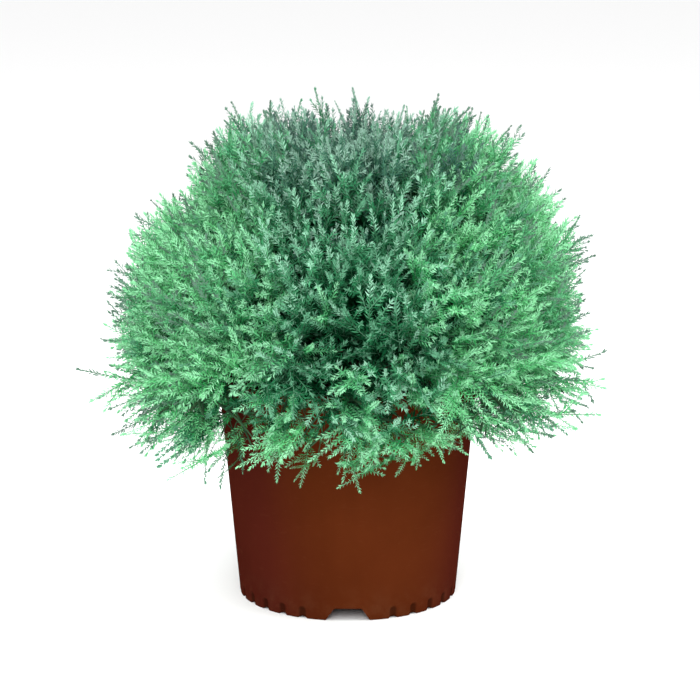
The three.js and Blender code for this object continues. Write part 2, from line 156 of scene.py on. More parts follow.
# Painted light: the front of the pot, towards the front lights, is a lighter brown; the back and edges keep a
# darker brown as painted shade.
PAINTED_LIGHT_EAST = 0.22
PAINTED_LIGHT_SOUTH = 0.975
PAINTED_LIGHT_EDGES = (0.058, 0.112)
EDGE_SHADE_BROWN = ((0.046, 0.0072, 0.0040), (0.056, 0.0090, 0.0050))
FRONT_LIGHT_BROWN = ((0.060, 0.0118, 0.0030), (0.074, 0.0150, 0.0040))
SCUFF_COLOUR = (0.16, 0.06, 0.03)
DUST_COLOUR = (0.16, 0.07, 0.035)
# Painted shade: a dark brown laid into the flutes by their depth.
FLUTE_SHADE_COLOUR = (0.013, 0.0035, 0.0015)


class Wire:
    """A socket in a node tree. Arithmetic on it adds Math nodes, and make() adds a node of any kind."""

    COLOUR_A, COLOUR_B, MIXED_COLOUR = 6, 7, 2  # sockets of a Mix node

    def __init__(self, tree, socket=None):
        self.tree, self.socket = tree, socket

    def make(self, kind, inputs=None, output=0, **settings):
        node = self.tree.nodes.new(kind)
        for name, value in settings.items():
            setattr(node, name, value)
        for name, value in (inputs or {}).items():
            if isinstance(value, Wire):
                self.tree.links.new(value.socket, node.inputs[name])
            else:
                node.inputs[name].default_value = value
        return Wire(self.tree, node.outputs[output])

    def math(self, operation, first, second):
        return self.make("ShaderNodeMath", {0: first, 1: second}, operation=operation)

    __add__ = __radd__ = lambda self, other: self.math("ADD", self, other)
    __mul__ = __rmul__ = lambda self, other: self.math("MULTIPLY", self, other)
    __sub__ = lambda self, other: self.math("SUBTRACT", self, other)
    __rsub__ = lambda self, other: self.math("SUBTRACT", other, self)

    def step(self, low, high):
        """0 below low and 1 above high, smooth between."""
        inputs = {"Value": self, "From Min": low, "From Max": high}
        return self.make("ShaderNodeMapRange", inputs, interpolation_type="SMOOTHSTEP")

    def tint(self, low, high):
        """A colour from low to high as the value goes from 0 to 1. Either may be a colour or a Wire."""
        first, last = [c if isinstance(c, Wire) else (*c, 1) for c in (low, high)]
        inputs = {"Factor": self, self.COLOUR_A: first, self.COLOUR_B: last}
        return self.make("ShaderNodeMix", inputs, self.MIXED_COLOUR, data_type="RGBA")


def patterned(name, roughness, specular):
    """A new material, its shader's sockets, and the piece's own coordinates to build its pattern on."""
    material, surface = finish(name, roughness, specular)
    return material, surface, Wire(material.node_tree).make("ShaderNodeTexCoord", output="Object")


def mark(mesh, name, kind, values, domain="POINT"):
    """Keeps a value for each point or face of a mesh under a name."""
    field = "vector" if kind == "FLOAT_VECTOR" else "value"
    mesh.attributes.new(name, kind, domain).data.foreach_set(field, values)


def marked(place, name):
    """The values kept on a piece's mesh under a name, for its material."""
    return place.make("ShaderNodeAttribute", output="Fac", attribute_name=name)


def feed(surface, socket, wire):
    wire.tree.links.new(wire.socket, surface[socket])


def bump(surface, strength, distance, height):
    inputs = {"Strength": strength, "Distance": distance, "Height": height}
    feed(surface, "Normal", height.make("ShaderNodeBump", inputs))


def noise(place, scale, detail=3.0, roughness=0.5):
    inputs = {"Vector": place, "Scale": scale, "Detail": detail, "Roughness": roughness}
    return place.make("ShaderNodeTexNoise", inputs)


def stretched(place, x, y, z):
    return place.make("ShaderNodeMapping", {"Vector": place, "Scale": (x, y, z)})


def new_piece(name, verts, faces, material):
    """A smooth mesh object at the origin, with its place in its mesh."""
    mesh = bare_mesh(name, verts, faces)
    mesh.validate()
    mesh.materials.append(material)
    mesh.polygons.foreach_set("use_smooth", [True] * len(mesh.polygons))
    return put_in_scene(name, mesh)


def ring_faces(rows, columns, closed_loop=False):
    """Quads between rings of points, wound so that rows that go up an outside wall face outwards."""
    faces = []
    for i in range(rows if closed_loop else rows - 1):
        a, b = i * columns, (i + 1) % rows * columns
        for j in range(columns):
            k = (j + 1) % columns
            faces.append((a + j, a + k, b + k, b + j))
    return faces


def all_round(columns):
    return np.arange(columns) / columns * 2 * pi


def wall_radius(height):
    return BASE_RADIUS + (WALL_TOP_RADIUS - BASE_RADIUS) * height / POT_HEIGHT


pot_turn = all_round(POT_COLUMNS)
from_notch = (pot_turn + NOTCH_PITCH / 2) % NOTCH_PITCH - NOTCH_PITCH / 2
notch_slope = (NOTCH_BOTTOM_HALF - NOTCH_TOP_HALF) / NOTCH_HEIGHT
notch_edge = (NOTCH_BOTTOM_HALF - BASE_RADIUS * np.abs(from_notch)) / notch_slope
share = np.clip(0.5 + 0.5 * (NOTCH_HEIGHT - notch_edge) / NOTCH_CORNER, 0, 1)  # rounds the notch's corners
notch_edge = NOTCH_HEIGHT + (notch_edge - NOTCH_HEIGHT) * share - NOTCH_CORNER * share * (1 - share)
from_flute = (pot_turn + FLUTE_PITCH / 2) % FLUTE_PITCH - FLUTE_PITCH / 2
flute_arc = np.where(np.abs(from_notch) > FLUTE_FREE, BASE_RADIUS * np.abs(from_flute), 1.0)


def sunk(distance, depth):
    """How deep a round groove of that depth, FLUTE_HALF to each side, is at a distance from its middle."""
    radius = (FLUTE_HALF**2 + depth**2) / (2 * depth)
    return np.maximum(np.sqrt(np.maximum(radius**2 - distance**2, 0)) - (radius - depth), 0)


def groove_at(heights):
    """How deep the flutes are all round the wall, at one height or a height for each column."""
    return sunk(np.hypot(flute_arc, np.maximum(heights - FLUTE_STRAIGHT, 0)), FLUTE_DEPTH)


def pot_ring(radii, heights):
    around = FRONT + pot_turn
    return np.stack([radii * np.cos(around), radii * np.sin(around), heights + 0 * pot_turn], -1)


foot_edge = np.maximum(np.maximum(notch_edge, 0), sunk(flute_arc, SCALLOP_HEIGHT))
band_foot = POT_HEIGHT - RIM_BAND
wall_heights = [
    foot_edge + FOOT_ROUND + (FOOT_BAND - foot_edge - FOOT_ROUND) * share
    for share in np.linspace(0, 1, FOOT_RINGS)
]
wall_heights += [*np.linspace(FOOT_BAND, band_foot - RIM_EDGE, WALL_RINGS)[1:]]
inner_top = wall_radius(POT_HEIGHT) - POT_WALL
rim_profile = [  # radius and height
    (wall_radius(band_foot) + 0.0006, band_foot - 0.0007),
    (RIM_RADIUS - 0.0012, band_foot - 0.0002),
    (RIM_RADIUS - 0.0004, band_foot + 0.0004),
    (RIM_RADIUS, band_foot + 0.0014),
    (RIM_RADIUS + 0.0001, band_foot + 0.005),
    (RIM_RADIUS, POT_HEIGHT - 0.0016),
    (RIM_RADIUS - 0.0004, POT_HEIGHT - 0.0006),
    (RIM_RADIUS - 0.0014, POT_HEIGHT),
    (RIM_RADIUS - 0.0035, POT_HEIGHT),
    (inner_top + 0.0006, POT_HEIGHT - 0.0003),
    (inner_top, POT_HEIGHT - 0.001),
]
foot_inside = wall_radius(foot_edge) - FOOT_WALL
rings = [pot_ring(wall_radius(foot_edge) - groove_at(foot_edge) - FOOT_ROUND, foot_edge)]
rings += [pot_ring(wall_radius(heights) - groove_at(heights), heights) for heights in wall_heights]
rings += [pot_ring(radius, height) for radius, height in rim_profile]
rings += [pot_ring(wall_radius(height) - POT_WALL, height) for height in INNER_HEIGHTS]
rings += [pot_ring(wall_radius(POT_FLOOR) - FOOT_WALL, POT_FLOOR)]
rings += [pot_ring(foot_inside, foot_edge + FOOT_ROUND), pot_ring(foot_inside + FOOT_ROUND, foot_edge)]
pot_verts = np.concatenate(rings)
pot_faces = ring_faces(len(rings), POT_COLUMNS, closed_loop=True)

# The floor is a filled flat curve with drain holes, thickened.
outline = bpy.data.curves.new("plate", "CURVE")
outline.dimensions = "2D"
outline.fill_mode = "BOTH"
outline.extrude = POT_WALL / 2
circles = [(0, 0, wall_radius(POT_FLOOR) - FOOT_WALL + PLATE_LAP, PLATE_SIDES)]
for turn in [FRONT + n * NOTCH_PITCH for n in range(NOTCHES)]:
    circles.append((DRAIN_CIRCLE * cos(turn), DRAIN_CIRCLE * sin(turn), DRAIN_RADIUS, DRAIN_SIDES))
for x, y, radius, sides in circles:
    spline = outline.splines.new("POLY")
    spline.points.add(sides - 1)
    spline.use_cyclic_u = True
    for i, point in enumerate(spline.points):
        angle = 2 * pi * i / sides
        point.co = (x + radius * cos(angle), y + radius * sin(angle), 0, 1)
holder = bpy.data.objects.new("plate", outline)
plate = bmesh.new()
plate.from_mesh(bpy.data.meshes.new_from_object(holder))
bpy.data.objects.remove(holder)
bmesh.ops.remove_doubles(plate, verts=plate.verts, dist=1e-6)
plate.verts.index_update()
plate_verts = [v.co + UP * (POT_FLOOR + POT_WALL / 2) for v in plate.verts]
plate_faces = [tuple(len(pot_verts) + v.index for v in face.verts) for face in plate.faces]
plate.free()

pot_plastic, surface, place = patterned("brown_polyethylene", 0.42, 0.0)
mottle = noise(place, 9, 4)
flow = noise(stretched(place, 60, 60, 4), 1, 3)
grain = noise(place, 1400, 2)
east, north, height_up = [place.make("ShaderNodeSeparateXYZ", {"Vector": place}, axis) for axis in "XYZ"]
scuffs = noise(stretched(place, 90, 90, 500), 1, 2).step(0.63, 0.72)
dust = noise(place, 55, 5, 0.7).step(0.42, 0.7) * (1 - height_up.step(0.002, 0.045))
blotches = (mottle * 0.85 + flow * 0.15).step(0.3, 0.7)
# Painted light: a lighter brown on the front, and a darker brown at the back and edges as painted shade.
painted_front_light = (east * PAINTED_LIGHT_EAST - north * PAINTED_LIGHT_SOUTH).step(*PAINTED_LIGHT_EDGES)
body = painted_front_light.tint(blotches.tint(*EDGE_SHADE_BROWN), blotches.tint(*FRONT_LIGHT_BROWN))
dusty = (dust * 0.12).tint((scuffs * 0.05).tint(body, SCUFF_COLOUR), DUST_COLOUR)
# Painted shade: the flutes are darkened by how deep they are.
painted_flute_shade = marked(place, "groove").step(0.05, 0.9)
feed(surface, "Base Color", (painted_flute_shade * 0.62).tint(dusty, FLUTE_SHADE_COLOUR))
feed(surface, "Roughness", 0.36 + mottle * 0.1 + scuffs * 0.1 + dust * 0.2)
bump(surface, 0.16, 0.0006, grain * 0.7 + flow * 0.2)

pot = new_piece("nursery_pot", [*pot_verts, *plate_verts], pot_faces + plate_faces, pot_plastic)
grooved = np.concatenate([groove_at(heights) / FLUTE_DEPTH for heights in [foot_edge, *wall_heights]])
mark(pot.data, "groove", "FLOAT", [*grooved, *[0.0] * (len(pot.data.vertices) - len(grooved))])
flat_faces = len(pot.data.polygons) - len(pot_faces)
pot.data.polygons.foreach_set("use_smooth", [True] * len(pot_faces) + [False] * flat_faces)
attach(pot, "root")
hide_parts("pot")

# The potting mix: damp composted bark, filled to a finger's width under the lip and settled by watering.
# Loose chips of bark lie all over its top, scattered on its surface.
SOIL_LEVEL = 0.206
SOIL_SINK = 0.004
SOIL_EDGE_DEPTH = 0.003
SOIL_LUMP = 0.0022
SOIL_GAP = 0.0004
SOIL_FLOOR_GAP = 0.0003
SOIL_FOOT_RADIUS = 0.06
SOIL_MIDDLE_RADIUS = 0.0024
SOIL_COLUMNS = 120
SOIL_RINGS = 46
SOIL_SEED = 5
LUMP_WAVES = 14
LUMP_PITCH = 0.022
LUMP_GAIN = 2.2
CHIP_DENSITY = 30000
CHIP_KINDS = 6
CHIP_TILT = 0.5
CHIP_GROUND = 0.6
DAMP_BROWN = ((0.008, 0.005, 0.003), (0.07, 0.042, 0.024))
CHIP_BROWN = ((0.018, 0.010, 0.006), (0.15, 0.085, 0.05))

draw = random.Random(SOIL_SEED)
soil_waves = []
for _ in range(LUMP_WAVES):
    angle, pitch = draw.uniform(0, 2 * pi), LUMP_PITCH * draw.uniform(0.6, 1.6)
    soil_waves.append((cos(angle) / pitch, sin(angle) / pitch, draw.uniform(0, 2 * pi)))
soil_turn = all_round(SOIL_COLUMNS)


def soil_ring(radius, height, lump):
    """A ring of the fill, with the humps and hollows of its top: a sum of waves, about -1 to 1."""
    x, y = radius * np.cos(soil_turn), radius * np.sin(soil_turn)
    waves = sum(np.sin(2 * pi * (a * x + b * y) + c) for a, b, c in soil_waves)
    return np.stack([x, y, height + lump * (waves / LUMP_WAVES * LUMP_GAIN)], -1)


soil_foot = POT_FLOOR + POT_WALL + SOIL_FLOOR_GAP
soil_edge = wall_radius(SOIL_LEVEL - SOIL_SINK) - POT_WALL - SOIL_GAP
soil_rings = [
    soil_ring(SOIL_FOOT_RADIUS, soil_foot, 0),
    soil_ring(wall_radius(soil_foot) - POT_WALL - SOIL_GAP, soil_foot, 0),
    soil_ring(soil_edge, SOIL_LEVEL - SOIL_SINK - SOIL_EDGE_DEPTH, 0),
]
for radius in np.linspace(soil_edge, SOIL_MIDDLE_RADIUS, SOIL_RINGS):
    sink = SOIL_SINK * max(0, (radius - WALL_TOP_RADIUS / 2) / (soil_edge - WALL_TOP_RADIUS / 2))
    soil_rings.append(soil_ring(radius, SOIL_LEVEL - sink - SOIL_LUMP * 0.6, SOIL_LUMP))
soil_verts = [*np.concatenate(soil_rings), (0, 0, soil_foot), tuple(soil_rings[-1].mean(0))]
soil_faces = ring_faces(len(soil_rings), SOIL_COLUMNS)
foot_middle, top_middle = len(soil_verts) - 2, len(soil_verts) - 1
last_ring = foot_middle - SOIL_COLUMNS
for j in range(SOIL_COLUMNS):
    k = (j + 1) % SOIL_COLUMNS
    soil_faces += [(foot_middle, k, j), (top_middle, last_ring + j, last_ring + k)]

damp_bark, surface, place = patterned("composted_bark", 0.95, 0.25)
crumbs = place.make("ShaderNodeTexVoronoi", {"Vector": place, "Scale": 260})
feed(surface, "Base Color", (crumbs * 0.6 + noise(place, 24, 4) * 0.6).tint(*DAMP_BROWN))
bump(surface, 0.8, 0.002, crumbs)
soil = new_piece("potting_mix_fill", soil_verts, soil_faces, damp_bark)
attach(soil, "root")
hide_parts("potting_mix")


def kinds(name, meshes, material):
    """A collection of shapes for a node tree to pick from, kept out of the scene."""
    group = bpy.data.collections.new(name)
    for i, mesh in enumerate(meshes):
        mesh.materials.append(material)
        group.objects.link(bpy.data.objects.new(f"{name}_{i:02d}", mesh))
    return group


def chip_mesh(draw):
    """A splinter of bark: a bent, uneven slab."""
    length, width = draw.uniform(0.005, 0.011), draw.uniform(0.002, 0.0045)
    thick = draw.uniform(0.0008, 0.0016)
    verts = []
    for along in (-0.5, 0.0, 0.5):
        lift = draw.uniform(-0.0006, 0.0006)
        half = width / 2 * (1 if along == 0 else draw.uniform(0.4, 0.8))
        verts += [(along * length, -half, lift), (along * length, half, lift)]
        verts += [(along * length, half * 0.8, lift + thick), (along * length, -half * 0.8, lift + thick)]
    faces = [(0, 3, 2, 1), (8, 9, 10, 11)]
    for i in (0, 4):
        faces += [(i + j, i + (j + 1) % 4, i + 4 + (j + 1) % 4, i + 4 + j) for j in range(4)]
    return bare_mesh("chip", verts, faces)


def tree_with(name, sockets):
    """A geometry node tree, and a Wire from each of its named inputs."""
    tree = bpy.data.node_groups.new(name, "GeometryNodeTree")
    tree.interface.new_socket("Geometry", in_out="INPUT", socket_type="NodeSocketGeometry")
    for label, kind in sockets:
        tree.interface.new_socket(label, in_out="INPUT", socket_type=f"NodeSocket{kind}")
    tree.interface.new_socket("Geometry", in_out="OUTPUT", socket_type="NodeSocketGeometry")
    source = tree.nodes.new("NodeGroupInput")
    return tree, {socket.name: Wire(tree, socket) for socket in source.outputs if socket.name}


def placed_on(points, collection, angles, more):
    """One of a collection's shapes on each point, turned by the angles."""
    inputs = {"Collection": collection, "Separate Children": True, "Reset Children": True}
    shapes = points.make("GeometryNodeCollectionInfo", inputs)
    turned = points.make("FunctionNodeEulerToRotation", {"Euler": angles})
    inputs = {"Points": points, "Instance": shapes, "Pick Instance": True, "Rotation": turned, **more}
    return points.make("GeometryNodeInstanceOnPoints", inputs)


def realized(shape):
    return shape.make("GeometryNodeRealizeInstances", {"Geometry": shape})


def dressed(shape, material, **chosen):
    return shape.make("GeometryNodeSetMaterial", {"Geometry": shape, "Material": material, **chosen})


def close_tree(wire):
    wire.tree.links.new(wire.socket, wire.tree.nodes.new("NodeGroupOutput").inputs[0])


def grown(name, base_mesh, tree, values):
    """A new object with the plain mesh that a node tree makes of a base mesh."""
    base = put_in_scene(f"{name}_base", base_mesh)
    modifier = base.modifiers.new(name, "NODES")
    modifier.node_group = tree
    for item in tree.interface.items_tree:
        if item.in_out == "INPUT" and item.name in values:
            modifier[item.identifier] = values[item.name]
    graph = bpy.context.evaluated_depsgraph_get()
    mesh = bpy.data.meshes.new_from_object(base.evaluated_get(graph), depsgraph=graph)
    base.modifiers.remove(modifier)
    bpy.data.objects.remove(base)
    mesh.name = name
    return put_in_scene(name, mesh)


chip_tree, given = tree_with(
    "scattered_chips",
    [("Chips", "Collection"), ("Density", "Float"), ("Seed", "Int"), ("Bark", "Material")],
)
ground = given["Geometry"]
facing_up = ground.make("ShaderNodeSeparateXYZ", {"Vector": ground.make("GeometryNodeInputNormal")}, "Z")
inputs = {"Mesh": ground, "Density": given["Density"], "Seed": given["Seed"]}
inputs["Selection"] = ground.math("GREATER_THAN", facing_up, CHIP_GROUND)
scattered = ground.make("GeometryNodeDistributePointsOnFaces", inputs)
inputs = {0: (-CHIP_TILT, -CHIP_TILT, 0), 1: (CHIP_TILT, CHIP_TILT, 2 * pi), "Seed": 3}
spin = ground.make("FunctionNodeRandomValue", inputs, data_type="FLOAT_VECTOR")
laid = placed_on(scattered, given["Chips"], spin, {})
close_tree(dressed(realized(laid), given["Bark"]))

chip_bark, surface, place = patterned("bark_chips", 0.9, 0.3)
feed(surface, "Base Color", noise(place, 120, 2).step(0.3, 0.7).tint(*CHIP_BROWN))
draw = random.Random(SOIL_SEED)
chip_kinds = kinds("chip", [chip_mesh(draw) for _ in range(CHIP_KINDS)], chip_bark)
chip_values = {"Chips": chip_kinds, "Density": CHIP_DENSITY, "Seed": SOIL_SEED, "Bark": chip_bark}
litter = grown("bark_litter", soil.data.copy(), chip_tree, chip_values)
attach(litter, "root")

# The trunk and main boughs: grey-brown stringy bark in long upright ridges. The short trunk flares into
# lobed roots on the potting mix, and its boughs leave it close together, one for each mass of foliage.
TRUNK_HEIGHT = 0.062
TRUNK_BASE_RADIUS = 0.015
TRUNK_TIP_RADIUS = 0.0075
TRUNK_LEAN = 0.002
TRUNK_FOOT = SOIL_LEVEL + 0.0003
TRUNK_STEPS = 26
TRUNK_STEP_GROWTH = 1.3
ROOT_FLARE = 0.009
FLARE_HEIGHT = 0.016
FLARE_LOBES = 5
LOBE_DEPTH = 0.16
CROWN_CENTRE = Vector((0, 0, 0.244))
CROWN_RADIUS = 0.250
CROWN_RISE = 0.252
CROWN_DROP = 0.098
DOME_ROUNDNESS = 2.16
SKIRT_ROUNDNESS = 3
LAYER_SWELL = 0.04
LAYER_PITCH = radians(36)
FIRST_LAYER = radians(-8)
SHOULDER_SWELL = 0.055
SHOULDER_FOOT = radians(28)
SHOULDER_HEAD = radians(56)
# Boughs and masses of foliage by tier: name, count, elevation and first turn in degrees
TIERS = [("skirt", 8, -14, 0), ("side", 8, 12, 22.5), ("shoulder", 6, 43, 12), ("top", 1, 90, 0)]
BOUGH_ROOT_RADIUS = 0.0032
BOUGH_TIP_RADIUS = 0.0024
BOUGH_FOOT = 0.009
TOP_BOUGH_FOOT = 0.023
BOUGH_REACH = 0.36
SKIRT_BOUGH_TIP = (0.140, -0.005)
SIDE_BOUGH_SAG = 0.004
BOUGH_STEPS = 14
BARK_RIDGES = 11
CROSSING_RIDGES = 7
RIDGE_HALF_DEPTH = 0.045
RIDGE_WANDER = 2.5
BARK_ROUGHNESS = 0.3
BARK_BROWN = ((0.045, 0.026, 0.017), (0.21, 0.135, 0.09))
BARK_GREY = (0.16, 0.13, 0.105)


def heading_of(azimuth, elevation):
    level = cos(elevation)
    return Vector((level * cos(azimuth), level * sin(azimuth), sin(elevation)))


def blend(low, high, value):
    """From 0 at low to 1 at high."""
    return min(1, max(0, (value - low) / (high - low)))


def reach(heading):
    """Distance from the middle of the branching to the crown's outline."""
    x, y, z = heading
    drop, roundness = (CROWN_DROP, SKIRT_ROUNDNESS) if z < 0 else (CROWN_RISE, DOME_ROUNDNESS)
    across, upright = hypot(x, y) / CROWN_RADIUS, abs(z) / drop
    elevation = asin(max(-1, min(1, z)))
    layer = cos(2 * pi * (elevation - FIRST_LAYER) / LAYER_PITCH)
    swell = 1 + LAYER_SWELL * layer + SHOULDER_SWELL * x * blend(SHOULDER_FOOT, SHOULDER_HEAD, elevation)
    return swell * (across**roundness + upright**roundness) ** (-1 / roundness)


Mass = namedtuple("Mass", "tier label azimuth axis")
masses = []
for tier, count, elevation, tier_turn in TIERS:
    for n in range(count):
        label = f"{tier}_{n + 1}" if count > 1 else tier
        azimuth = radians(tier_turn) + FRONT + 2 * pi * n / count
        masses.append(Mass(tier, label, azimuth, heading_of(azimuth, radians(elevation))))


def across_from(heading):
    """A direction square to another, level where it can be."""
    helper = UP if abs(heading.z) < 0.9 else Vector((0, 1, 0))
    return helper.cross(heading).normalized()


def square_to(along, side):
    """A direction brought square to another."""
    return (side - along * side.dot(along)).normalized()


def barked_limb(path, radii, sides, seed, lobes=()):
    """A closed limb along a path, with ridges of bark that wander round it."""
    draw = random.Random(seed)
    phases = [draw.uniform(0, 2 * pi) for _ in range(3)]
    verts, side = [], None
    for i, point in enumerate(path):
        along = (path[min(i + 1, len(path) - 1)] - path[max(i - 1, 0)]).normalized()
        side = square_to(along, side) if side else across_from(along)
        normal = along.cross(side)
        share = i / (len(path) - 1)
        for j in range(sides):
            angle = 2 * pi * j / sides
            ridge = cos(BARK_RIDGES * angle + phases[0] + RIDGE_WANDER * sin(4 * share + phases[1]))
            ridge += 0.6 * cos(CROSSING_RIDGES * angle - 3 * share + phases[2])
            ridge += draw.uniform(-BARK_ROUGHNESS, BARK_ROUGHNESS)
            lobe = 1 + lobes[i] * cos(FLARE_LOBES * angle) if lobes else 1
            radius = radii[i] * (1 + RIDGE_HALF_DEPTH * ridge) * lobe
            verts.append(point + side * radius * cos(angle) + normal * radius * sin(angle))
    first, last = len(verts), len(verts) + 1
    verts += [path[0], path[-1]]
    faces = ring_faces(len(path), sides)
    end = (len(path) - 1) * sides
    faces += [(first, (j + 1) % sides, j) for j in range(sides)]
    faces += [(last, end + j, end + (j + 1) % sides) for j in range(sides)]
    return verts, faces


def skirt_point(mass, radius, height):
    return CROWN_CENTRE + heading_of(mass.azimuth, 0) * radius + UP * height


def bough_tip(mass):
    if mass.tier == "skirt":
        return skirt_point(mass, *SKIRT_BOUGH_TIP)
    return CROWN_CENTRE + mass.axis * BOUGH_REACH * reach(mass.axis)


def joined(parts):
    verts, faces = [], []
    for part_verts, part_faces in parts:
        faces += [tuple(i + len(verts) for i in face) for face in part_faces]
        verts += part_verts
    return verts, faces


def slim_curve(start, middle, end, steps):
    """Points on a smooth bend from start to end, pulled towards middle."""
    shares = [i / steps for i in range(steps + 1)]
    return [start * (1 - s) ** 2 + middle * 2 * s * (1 - s) + end * s * s for s in shares]


def tapered(thick, thin, steps):
    return [thick + (thin - thick) * i / steps for i in range(steps + 1)]


stringy_bark, surface, place = patterned("stringy_bark", 0.88, 0.3)
strings = noise(stretched(place, 420, 420, 40), 1, 4)
weathered = noise(place, 70, 3).step(0.5, 0.75) * 0.5
feed(surface, "Base Color", weathered.tint(strings.step(0.35, 0.68).tint(*BARK_BROWN), BARK_GREY))
bump(surface, 0.7, 0.0012, strings)

trunk_path, trunk_radii, trunk_lobes = [], [], []
for i in range(TRUNK_STEPS + 1):
    height = TRUNK_HEIGHT * (i / TRUNK_STEPS) ** TRUNK_STEP_GROWTH
    flare = max(0, 1 - height / FLARE_HEIGHT)
    straight = TRUNK_BASE_RADIUS + (TRUNK_TIP_RADIUS - TRUNK_BASE_RADIUS) * height / TRUNK_HEIGHT
    trunk_path.append(Vector((TRUNK_LEAN * sin(pi * height / TRUNK_HEIGHT), 0, TRUNK_FOOT + height)))
    trunk_radii.append(straight + ROOT_FLARE * flare**2)
    trunk_lobes.append(LOBE_DEPTH * flare)
trunk_shape = barked_limb(trunk_path, trunk_radii, sides=66, seed=1, lobes=trunk_lobes)
trunk = new_piece("trunk_bark", *trunk_shape, stringy_bark)
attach(trunk, "root")
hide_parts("trunk")

bough_radii = tapered(BOUGH_ROOT_RADIUS, BOUGH_TIP_RADIUS, BOUGH_STEPS)
bough_parts = []
for number, mass in enumerate(masses):
    tip = bough_tip(mass)
    root = CROWN_CENTRE + mass.axis * (TOP_BOUGH_FOOT if mass.tier == "top" else BOUGH_FOOT)
    sag = UP * (-SIDE_BOUGH_SAG if mass.tier == "side" else 0)
    path = slim_curve(root, (root + tip) / 2 + sag, tip, BOUGH_STEPS)
    bough_parts.append(barked_limb(path, bough_radii, sides=22, seed=100 + number))
boughs = new_piece("boughs_bark", *joined(bough_parts), stringy_bark)
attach(boughs, "root")
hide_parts(*[f"bough_{mass.label}" for mass in masses])

# The twigs: each mass has one stem that carries on from its bough, twigs that fan out from the stem to
# points spread evenly over the crown, and finer shoots from those. All are thin round wood, brown where it
# is old and green where it is young, as on the shoots and in the low fringe.
GOLDEN_ANGLE = pi * (3 - sqrt(5))
CROWN_SEED = 41
STEM_REACH = 0.62
STEM_TIP_RADIUS = 0.0016
STEM_STEPS = 20
SKIRT_STEM_TIP = (0.205, -0.028)
SKIRT_STEM_BEND = 0.35
TWIG_COUNT = 250
LOWEST_TWIG = radians(-38)
TWIG_REACH = {"skirt": 0.84, "side": 0.76, "shoulder": 0.76, "top": 0.76}
TWIG_RADIUS = 0.0017
TWIG_TIP_RADIUS = 0.0009
TWIG_STEPS = 8
TWIG_SETBACK = 6
TWIG_WANDER = 0.010
FIRST_JOINT = 2
SHOOT_JOINTS = 6
SHOOT_STEPS = 4
SHOOT_BEND = 0.03
SHOOT_RISE = 0.30
SHOOT_RADIUS = 0.0008
SHOOT_TIP_RADIUS = 0.0005
GREEN_STEM = 0.7
GREEN_TWIG = 0.8
POT_GAP = 0.004
SPRAY_POT_GAP = 0.008
OLD_WOOD = ((0.014, 0.013, 0.007), (0.040, 0.033, 0.017))
GREEN_WOOD = ((0.012, 0.045, 0.020), (0.030, 0.090, 0.040))
# Layers of shoots: count, shares of the crown's reach that their tips lie between, whether the layer is an
# outer one, and the lowest height of a direction in it
SHOOT_LAYERS = [(2250, 0.87, 0.98, True, -1), (1000, 0.74, 0.86, False, -1), (1200, 0.86, 0.99, True, 0.80)]
# Sorts of spray: made lengths, side shoots on each variant, most lean in degrees, and how far proud it stands
SPRAYS = {
    "full": ((0.046, 0.058, 0.072), (3, 4, 5, 4), 32, 0),
    "plume": ((0.070,), (1, 2, 3), 32, 0.02),
    "lace": ((0.084,), (1, 2, 3, 2, 1, 3), 34, 0.04),
    "tassel": ((0.074,), (3, 4, 5, 4), 52, 0.04),
    "shaded": ((0.060,), (3, 3, 3), 32, 0),
}
LOW_SORTS = ("lace", "tassel")
LOW_LENGTH = (0.064, 0.020)
HIGH_LENGTH = (0.044, 0.032)
SHORTEST_SPRAY = 0.03
SHORTENING = 0.9
TASSEL_ROLL = radians(60)
PROUD_SHARE = 0.84
FEWEST_PLUMES = 0.91
PARTING = heading_of(FRONT, radians(8))
PARTING_SPREAD = radians(19)
PARTING_SHADE = radians(32)
PARTING_MISSING = 0.9
CLUMPS = 7
LOW_RECESSES = ((-1, -0.05), (-1, -0.20), (1, -0.05), (1, -0.29))
RECESS_DEPTH = 0.13
RECESS_HALF = 0.07
FRINGE_STARTS = -0.02
FRINGE_FULL = -0.22
FRINGE_MISSING = 0.66
SHADED_MISSING = 0.95
FRINGE_SAG = 0.12
FRINGE_OPEN = (0.22, 0.45, 0.8, 0.95)
RIM_GAP = (0.36, 0.46, 0.56, 0.66)
RIM_GAP_LIFT = 0.05
TUFTS_ROUND = 16
FIRST_TUFT = radians(4)
TUFT_DROP = 0.09
LACE_FROM = 0.62
TRAILING_BELOW = -0.25
TRAILING_FALL = -0.32
# Tones of the outer sprays by their lightness, up to each limit; the lighter tones to the sides, low down and
# on the shoulders are partly painted light
TONE_LIGHTNESS_LIMITS = (("frost", 0.15), ("silver", 0.47), ("mint", 0.70))


def band(value, start, full, fade, end):
    """1 between full and fade, and 0 outside start and end."""
    return blend(start, full, value) * blend(end, fade, value)


def evenly_spread(count):
    """Directions on a golden spiral, from the lowest twig up to the top of the crown."""
    low = sin(LOWEST_TWIG)
    heights = [low + (1 - low) * (k + 0.5) / count for k in range(count)]
    return [heading_of(k * GOLDEN_ANGLE, asin(height)) for k, height in enumerate(heights)]


def owner_of(heading):
    return max(range(len(masses)), key=lambda i: masses[i].axis.dot(heading))


def clear_of_pot(point, gap=POT_GAP):
    if point.z > POT_HEIGHT + gap:
        return True
    edge = RIM_RADIUS if point.z > POT_HEIGHT - RIM_BAND - gap else wall_radius(point.z)
    return hypot(point.x, point.y) > edge + gap


def stem_path(mass):
    start = bough_tip(mass)
    if mass.tier != "skirt":
        end = CROWN_CENTRE + mass.axis * STEM_REACH * reach(mass.axis)
        return slim_curve(start, (start + end) / 2, end, STEM_STEPS)
    end = skirt_point(mass, *SKIRT_STEM_TIP)
    bend = Vector((end.x, end.y, start.z)).lerp(start, SKIRT_STEM_BEND)
    return slim_curve(start, bend, end, STEM_STEPS)


